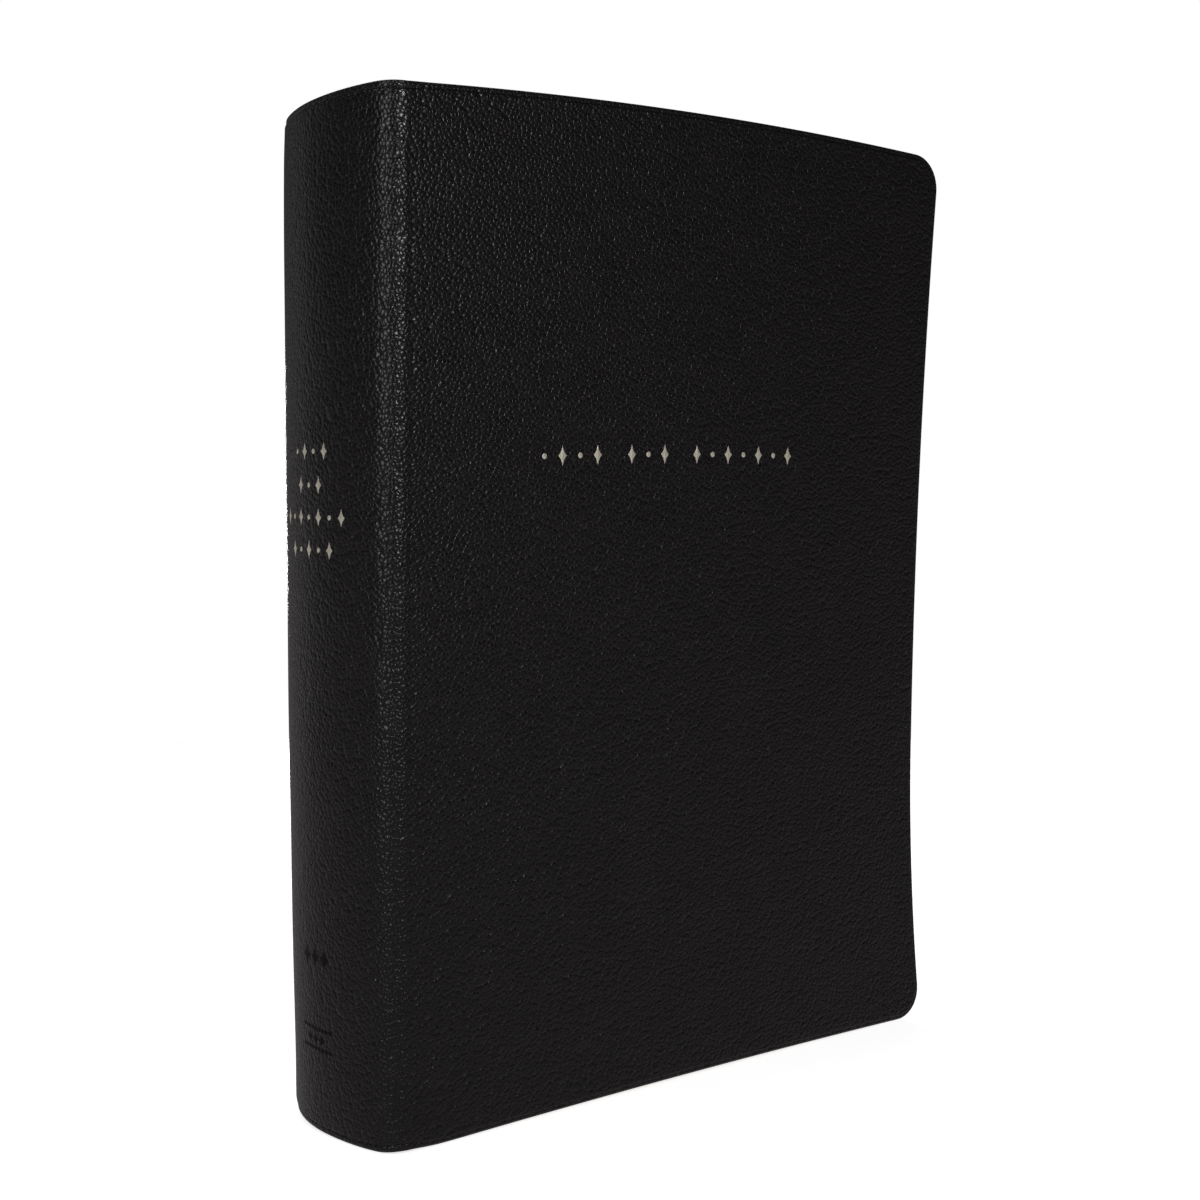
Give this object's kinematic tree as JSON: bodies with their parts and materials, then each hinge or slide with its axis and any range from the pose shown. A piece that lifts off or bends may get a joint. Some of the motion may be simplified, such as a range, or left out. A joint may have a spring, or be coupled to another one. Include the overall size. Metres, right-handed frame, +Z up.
{
  "type": "bible",
  "caption": "Thick bible in a limp black leather cover with a rounded spine, rounded corners, gilt page edges and a plain foil ornament.",
  "frame": {"origin": "under the middle of the box, on the surface the book stands on", "axes": "+Z up from tail to head, -X the spine, +X the fore edge, -Y the front cover, +Y the back cover"},
  "size_m": [0.18, 0.048, 0.235],
  "materials": {
    "cover_leather": "pebble-grained, satin",
    "cover_card": "matt",
    "endpaper": "matt, fine linen press",
    "page_paper": "thin bible paper with gilt edges",
    "kraft_paper": "matt",
    "mull_cloth": "open plain weave",
    "thread": "waxed",
    "band_silk": "wound silk",
    "foil": "stamped metallic foil"
  },
  "bodies": {
    "spine": {"spine_leather": "cover_leather", "spine_inlay": "cover_card", "spine_tube": "kraft_paper", "spine_mull": "mull_cloth", "sewn_folds": "page_paper", "sewing_threads": "thread", "head_band": "band_silk", "tail_band": "band_silk"},
    "front_half": {"gathering_01": "page_paper", "gathering_02": "page_paper", "gathering_03": "page_paper", "gathering_04": "page_paper", "gathering_05": "page_paper", "gathering_06": "page_paper", "gathering_07": "page_paper", "gathering_08": "page_paper", "gathering_09": "page_paper", "gathering_10": "page_paper", "gathering_11": "page_paper", "gathering_12": "page_paper", "gathering_13": "page_paper", "gathering_14": "page_paper"},
    "rear_half": {"gathering_15": "page_paper", "gathering_16": "page_paper", "gathering_17": "page_paper", "gathering_18": "page_paper", "gathering_19": "page_paper", "gathering_20": "page_paper", "gathering_21": "page_paper", "gathering_22": "page_paper", "gathering_23": "page_paper", "gathering_24": "page_paper", "gathering_25": "page_paper", "gathering_26": "page_paper", "gathering_27": "page_paper", "gathering_28": "page_paper"},
    "front_cover": {"front_cover_leather": "cover_leather", "front_cover_card": "cover_card", "front_cover_lining": "endpaper"},
    "back_cover": {"back_cover_leather": "cover_leather", "back_cover_card": "cover_card", "back_cover_lining": "endpaper"},
    "front_flyleaf": {"front_flyleaf": "endpaper"},
    "back_flyleaf": {"back_flyleaf": "endpaper"}
  },
  "joints": [
    {"name": "book_opening", "type": "hinge", "parent": "spine", "child": "front_half", "pos_m": [-0.08203, -0.02275, 0.1175], "axis": [0, 0, -1], "range_deg": [0, 70]},
    {"name": "rear_opening", "type": "hinge", "parent": "spine", "child": "rear_half", "pos_m": [-0.08203, 0.02275, 0.1175], "axis": [0, 0, 1], "range_deg": [0, 70]},
    {"name": "front_cover_hinge", "type": "hinge", "parent": "front_half", "child": "front_cover", "pos_m": [-0.08203, -0.02275, 0.1175], "axis": [0, 0, -1], "range_deg": [0, 110]},
    {"name": "back_cover_hinge", "type": "hinge", "parent": "rear_half", "child": "back_cover", "pos_m": [-0.08203, 0.02275, 0.1175], "axis": [0, 0, 1], "range_deg": [0, 110]},
    {"name": "front_flyleaf_turn", "type": "hinge", "parent": "front_half", "child": "front_flyleaf", "pos_m": [-0.08203, -0.02275, 0.1175], "axis": [0, 0, -1], "range_deg": [0, 44]},
    {"name": "back_flyleaf_turn", "type": "hinge", "parent": "rear_half", "child": "back_flyleaf", "pos_m": [-0.08203, 0.02275, 0.1175], "axis": [0, 0, 1], "range_deg": [0, 44]}
  ],
  "couplings": [
    {"joint": "rear_opening", "follows": "book_opening", "ratio": 1},
    {"joint": "front_flyleaf_turn", "follows": "front_cover_hinge", "ratio": 0.4},
    {"joint": "back_flyleaf_turn", "follows": "back_cover_hinge", "ratio": 0.4}
  ]
}
